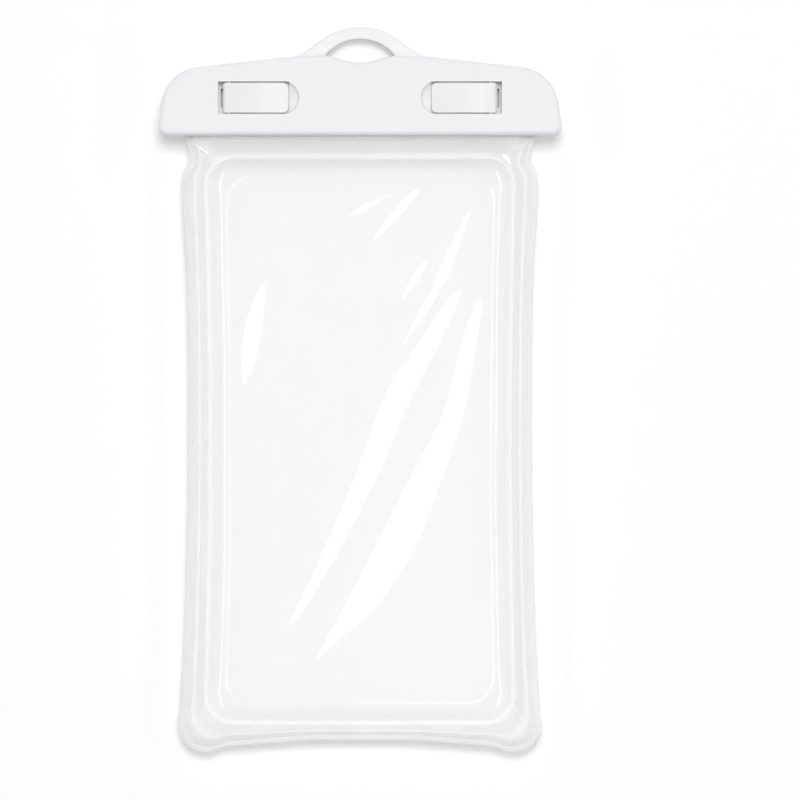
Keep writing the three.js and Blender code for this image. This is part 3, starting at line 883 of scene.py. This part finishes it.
def clear_plastic(name, colour, density, roughness, clouds, passes, sheen=0.0, gloss=FACE_GLOSS):
    """A see-through plastic that is denser edge on, with a clear gloss over all of it.

    A lamp's light is scattered forward in such plastic more than it is stopped, so its shadow is
    lighter than its milky look: passes is the share of a lamp's light that comes through.
    Density is how solid it is face on and edge on, and clouds are features per metre.
    """
    material, tree, output = new_material(name)
    cloud = noise(tree, clouds, 3, FLOW)
    milk = add_node(
        tree,
        "ShaderNodeBsdfPrincipled",
        Base_Color=varied_colour(tree, cloud, colour, CLEAR_STRAY),
        Roughness=ranged(tree, cloud, *(roughness + more for more in MILK_ROUGHNESS)),
    )
    milk.inputs["Sheen Weight"].default_value = sheen
    milk.inputs["Sheen Roughness"].default_value = SHEEN_ROUGHNESS
    clear = add_node(tree, "ShaderNodeBsdfTransparent", Color=WHITE)
    body = add_node(tree, "ShaderNodeMixShader", Fac=edge_share(tree, DENSITY_POWER, *density))
    tree.links.new(clear.outputs[0], body.inputs[1])
    tree.links.new(milk.outputs[0], body.inputs[2])
    shine = add_node(tree, "ShaderNodeBsdfGlossy", Color=WHITE, Roughness=roughness)
    glossy = edge_share(tree, GLOSS_POWER, gloss, EDGE_GLOSS)
    whole = add_node(tree, "ShaderNodeMixShader", Fac=glossy)
    tree.links.new(body.outputs[0], whole.inputs[1])
    tree.links.new(shine.outputs[0], whole.inputs[2])
    path = tree.nodes.new("ShaderNodeLightPath")
    let_through = add_node(tree, "ShaderNodeBsdfTransparent", Color=(passes, passes, passes, 1))
    lit = add_node(tree, "ShaderNodeMixShader", Fac=path.outputs["Is Shadow Ray"])
    tree.links.new(whole.outputs[0], lit.inputs[1])
    tree.links.new(let_through.outputs[0], lit.inputs[2])
    tree.links.new(lit.outputs[0], output.inputs["Surface"])
    return material


def soft_silicone():
    """The seal's matt silicone."""
    material, tree, output = new_material("pale silicone")
    shader = add_node(
        tree,
        "ShaderNodeBsdfPrincipled",
        Base_Color=varied_colour(tree, noise(tree, SEAL_CLOUDS), SEAL_COLOUR, SEAL_STRAY),
        Roughness=SEAL_ROUGHNESS,
        Normal=bumped(tree, noise(tree, SEAL_GRAIN), SEAL_GRAIN_SHARE),
    )
    tree.links.new(shader.outputs[0], output.inputs["Surface"])
    return material


def drawn_steel():
    """The pins' wire, with lines along it."""
    material, tree, output = new_material("drawn steel")
    lines = noise(tree, STEEL_LINES, stretch=LINES)
    shader = add_node(
        tree,
        "ShaderNodeBsdfPrincipled",
        Base_Color=varied_colour(tree, lines, STEEL_COLOUR, STEEL_STRAY),
        Metallic=1.0,
        Roughness=ranged(tree, lines, *STEEL_ROUGHNESS),
    )
    tree.links.new(shader.outputs[0], output.inputs["Surface"])
    return material


# Operators

class POUCH_OT_clamp_bars(bpy.types.Operator):
    """Builds the two bars of the clamp"""

    bl_idname = "pouch.clamp_bars"
    bl_label = "Clamp Bars"

    def execute(self, context):
        settings = context.scene.pouch_clamp
        finish = satin_plastic(settings)
        for node in ("front_clamp_bar", "rear_clamp_bar"):
            piece = moulded_copy(node, "root", settings.edge_radius)
            piece.data.materials.append(finish)
        return {"FINISHED"}


class POUCH_OT_latch_levers(bpy.types.Operator):
    """Builds the two flip levers"""

    bl_idname = "pouch.latch_levers"
    bl_label = "Latch Levers"

    def execute(self, context):
        settings = context.scene.pouch_clamp
        finish = clear_plastic(
            "milky lever plastic",
            settings.lever_colour,
            settings.lever_density,
            settings.lever_roughness,
            LEVER_CLOUDS,
            LEVER_PASSES,
        )
        for side in ("left", "right"):
            node = side + "_latch_lever"
            piece = moulded_copy(node, side + "_latch", settings.lever_edge_radius)
            piece.data.materials.append(finish)
        return {"FINISHED"}


class POUCH_OT_inner_parts(bpy.types.Operator):
    """Finishes the steel pins and the seal, which keep their own shapes"""

    bl_idname = "pouch.inner_parts"
    bl_label = "Pins and Seal"

    def execute(self, context):
        finishes = {
            "left_latch_pin": drawn_steel(),
            "seal_strip": soft_silicone(),
        }
        finishes["right_latch_pin"] = finishes["left_latch_pin"]
        for node, finish in finishes.items():
            NODES[node].data.materials.clear()
            NODES[node].data.materials.append(finish)
        return {"FINISHED"}


class POUCH_OT_films(bpy.types.Operator):
    """Builds the front and rear films, with the front one's facets"""

    bl_idname = "pouch.films"
    bl_label = "Films"

    def execute(self, context):
        settings = context.scene.pouch_bag
        finish = clear_plastic(
            "clear film",
            settings.window_colour,
            settings.film_density,
            settings.film_roughness,
            FILM_CLOUDS,
            FILM_PASSES,
        )
        for side in ("front", "rear"):
            piece = make_film(side + "_film_shell", settings, side)
            piece.data.materials.append(finish)
            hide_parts(side + "_film")
        return {"FINISHED"}


class POUCH_OT_air_rims(bpy.types.Operator):
    """Builds the inflated rims with their creases, and the inner and outer welds"""

    bl_idname = "pouch.air_rims"
    bl_label = "Air Rims"

    def execute(self, context):
        settings = context.scene.pouch_bag
        finish = clear_plastic(
            "inflated film",
            settings.rim_colour,
            settings.rim_density,
            settings.rim_roughness,
            RIM_CLOUDS,
            FILM_PASSES,
            sheen=0.9,
        )
        weld_finish = clear_plastic("weld", **WELD_FINISH)
        edge_finish = clear_plastic("outer weld", **EDGE_FINISH)
        crease_finish = clear_plastic("crease", **CREASE_FINISH)
        for side in ("front", "rear"):
            rim = make_rim(side + "_rim_shell", settings, side)
            rim.data.materials.append(finish)
            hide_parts(side + "_air_rim")
            if side == "front":
                creases = make_creases("front_rim_creases", settings, rim)
                creases.data.materials.append(crease_finish)
            weld = make_weld(side + "_weld_bead", settings, side)
            weld.data.materials.append(weld_finish)
            edge = make_outer_weld(side + "_outer_weld", side)
            edge.data.materials.append(edge_finish)
        return {"FINISHED"}


# Studio

# The photograph is 800 pixels square, and its object's middle isn't in the middle of it.
PHOTO_SIZE = 800
MM_PER_PIXEL = 0.29777
OBJECT_PIXEL = (360.0, 389.6)
# The camera's sensor in millimetres, and the share of the pouch's thickness that is framed.
SENSOR = 36.0
FRAMED_HEIGHT = 0.7
CLIP_START = 0.01
# Places and sizes of the stage are metres, and its angles degrees.
FLOOR_HALF = 3.0
KEY_DISTANCE, KEY_AZIMUTH, KEY_ELEVATION = 5.0, 84.0, 74.0
KEY_SIZE = (1.7, 1.7)
# A strip hangs on each side, long along the pouch and thin.
STRIP_DISTANCE, STRIP_HEIGHT = 1.0, 0.75
STRIP_SIZE = (2.4, 0.14)
# The glare panel is level, beside the camera, off the upright by one angle and turned by the other.
GLARE_HEIGHT = 2.6
GLARE_OFF, GLARE_TURN = 10, -25
GLARE_SIZE = (0.45, 1.3)
# The world's grey at the horizon, and how far up it is white.
HORIZON = (0.8, 0.8, 0.805, 1)
WHITE_FROM = 0.8


class POUCH_OT_studio(bpy.types.Operator):
    """Builds the pale floor, the soft lamps and the camera above the pouch"""

    bl_idname = "pouch.studio"
    bl_label = "Studio"

    def execute(self, context):
        settings = context.scene.pouch_studio
        self.add_floor(settings)
        self.add_lamps(settings)
        self.add_world(context.scene, settings)
        self.add_camera(context.scene, settings)
        context.scene.view_settings.view_transform = "Standard"
        return {"FINISHED"}

    def add_floor(self, settings):
        """A pale floor, nearly white to the camera but for the pouch's shadow."""
        mesh = bpy.data.meshes.new("floor")
        half = FLOOR_HALF
        corners = [(-half, -half, 0), (half, -half, 0), (half, half, 0), (-half, half, 0)]
        mesh.from_pydata(corners, [], [(0, 1, 2, 3)])
        floor = bpy.data.objects.new("floor", mesh)
        bpy.context.scene.collection.objects.link(floor)
        material, tree, output = new_material("pale floor")
        matte = add_node(tree, "ShaderNodeBsdfDiffuse", Color=(*settings.floor_colour, 1))
        seen_colour = [c * settings.floor_shade for c in settings.floor_colour]
        seen_matte = add_node(tree, "ShaderNodeBsdfDiffuse", Color=(*seen_colour, 1))
        glow = add_node(tree, "ShaderNodeEmission", Color=WHITE, Strength=settings.floor_glow)
        both = tree.nodes.new("ShaderNodeAddShader")
        tree.links.new(seen_matte.outputs[0], both.inputs[0])
        tree.links.new(glow.outputs[0], both.inputs[1])
        path = tree.nodes.new("ShaderNodeLightPath")
        seen = tree.nodes.new("ShaderNodeMath")
        seen.operation = "MAXIMUM"
        tree.links.new(path.outputs["Is Camera Ray"], seen.inputs[0])
        tree.links.new(path.outputs["Is Glossy Ray"], seen.inputs[1])
        pick = tree.nodes.new("ShaderNodeMixShader")
        tree.links.new(seen.outputs[0], pick.inputs["Fac"])
        tree.links.new(matte.outputs[0], pick.inputs[1])
        tree.links.new(both.outputs[0], pick.inputs[2])
        tree.links.new(pick.outputs[0], output.inputs["Surface"])
        mesh.materials.append(material)

    def add_lamp(self, name, place, size, power):
        """A rectangular lamp that points at the middle of the pouch."""
        lamp = bpy.data.lights.new(name, "AREA")
        lamp.shape = "RECTANGLE"
        lamp.size, lamp.size_y = size
        lamp.energy = power
        made = bpy.data.objects.new(name, lamp)
        bpy.context.scene.collection.objects.link(made)
        made.location = place
        made.rotation_euler = (-Vector(place)).to_track_quat("-Z", "Y").to_euler()
        return made

    def add_lamps(self, settings):
        """The soft main lamp above the clamp's end, a strip on each side, and the glare panel."""
        flat = KEY_DISTANCE * math.cos(math.radians(KEY_ELEVATION))
        azimuth = math.radians(KEY_AZIMUTH)
        height = KEY_DISTANCE * math.sin(math.radians(KEY_ELEVATION))
        place = (flat * math.cos(azimuth), flat * math.sin(azimuth), height)
        key = self.add_lamp("key", place, KEY_SIZE, settings.key_power)
        key.visible_glossy = False
        for side in (-1, 1):
            place = (side * STRIP_DISTANCE, 0, STRIP_HEIGHT)
            self.add_lamp("strip", place, STRIP_SIZE, settings.strip_power)
        self.add_glare(settings)

    def add_glare(self, settings):
        """A panel beside the camera, whose reflection only the film's facets show."""
        offset = GLARE_HEIGHT * math.tan(math.radians(GLARE_OFF))
        turn = math.radians(GLARE_TURN)
        place = (offset * math.cos(turn), offset * math.sin(turn), GLARE_HEIGHT)
        lamp = self.add_lamp("glare", place, GLARE_SIZE, settings.glare_power)
        lamp.rotation_euler = (0, 0, turn)

    def add_world(self, scene, settings):
        """White to the camera, and a soft studio to the pouch and its reflections."""
        world = bpy.data.worlds.new("studio")
        scene.world = world
        world.use_nodes = True
        tree = world.node_tree
        tree.nodes.clear()
        output = tree.nodes.new("ShaderNodeOutputWorld")
        place = tree.nodes.new("ShaderNodeTexCoord")
        split = add_node(tree, "ShaderNodeSeparateXYZ", Vector=place.outputs["Generated"])
        ramp = tree.nodes.new("ShaderNodeValToRGB")
        horizon, sky = ramp.color_ramp.elements
        horizon.color, sky.color = HORIZON, WHITE
        sky.position = WHITE_FROM
        tree.links.new(split.outputs["Z"], ramp.inputs["Fac"])
        path = tree.nodes.new("ShaderNodeLightPath")
        strength = ranged(tree, path.outputs["Is Glossy Ray"], settings.ambient, 1.0)
        studio = add_node(tree, "ShaderNodeBackground", Color=ramp.outputs["Color"], Strength=strength)
        white = add_node(tree, "ShaderNodeBackground", Color=WHITE, Strength=1.0)
        pick = add_node(tree, "ShaderNodeMixShader", Fac=path.outputs["Is Camera Ray"])
        tree.links.new(studio.outputs[0], pick.inputs[1])
        tree.links.new(white.outputs[0], pick.inputs[2])
        tree.links.new(pick.outputs[0], output.inputs["Surface"])

    def add_camera(self, scene, settings):
        """A camera straight above, that frames what the photograph does."""
        camera = bpy.data.cameras.new("camera")
        view = bpy.data.objects.new("camera", camera)
        scene.collection.objects.link(view)
        across = (PHOTO_SIZE / 2 - OBJECT_PIXEL[0]) * MM_PER_PIXEL * MM
        up = (OBJECT_PIXEL[1] - PHOTO_SIZE / 2) * MM_PER_PIXEL * MM
        view.location = (across, up, settings.camera_height)
        distance = settings.camera_height - THICKNESS * FRAMED_HEIGHT * MM
        camera.sensor_width = SENSOR
        camera.lens = SENSOR * distance / (PHOTO_SIZE * MM_PER_PIXEL * MM)
        camera.clip_start = CLIP_START
        scene.camera = view


class POUCH_PT_build(bpy.types.Panel):
    """Lists the steps that build the pouch"""

    bl_idname = "POUCH_PT_build"
    bl_label = "Phone Pouch"
    bl_space_type = "VIEW_3D"
    bl_region_type = "UI"
    bl_category = "Pouch"

    def draw(self, context):
        for step in STEPS:
            self.layout.operator(step.bl_idname)


STEPS = (
    POUCH_OT_clamp_bars,
    POUCH_OT_latch_levers,
    POUCH_OT_inner_parts,
    POUCH_OT_films,
    POUCH_OT_air_rims,
    POUCH_OT_studio,
)
CLASSES = (BagSettings, ClampSettings, StudioSettings, *STEPS, POUCH_PT_build)


def register():
    for made in CLASSES:
        bpy.utils.register_class(made)
    bpy.types.Scene.pouch_bag = PointerProperty(type=BagSettings)
    bpy.types.Scene.pouch_clamp = PointerProperty(type=ClampSettings)
    bpy.types.Scene.pouch_studio = PointerProperty(type=StudioSettings)


def unregister():
    del bpy.types.Scene.pouch_studio
    del bpy.types.Scene.pouch_clamp
    del bpy.types.Scene.pouch_bag
    for made in reversed(CLASSES):
        bpy.utils.unregister_class(made)


def main():
    register()
    bpy.ops.pouch.clamp_bars()
    bpy.ops.pouch.latch_levers()
    bpy.ops.pouch.inner_parts()
    bpy.ops.pouch.films()
    bpy.ops.pouch.air_rims()
    bpy.ops.pouch.studio()


if __name__ == "__main__":
    main()
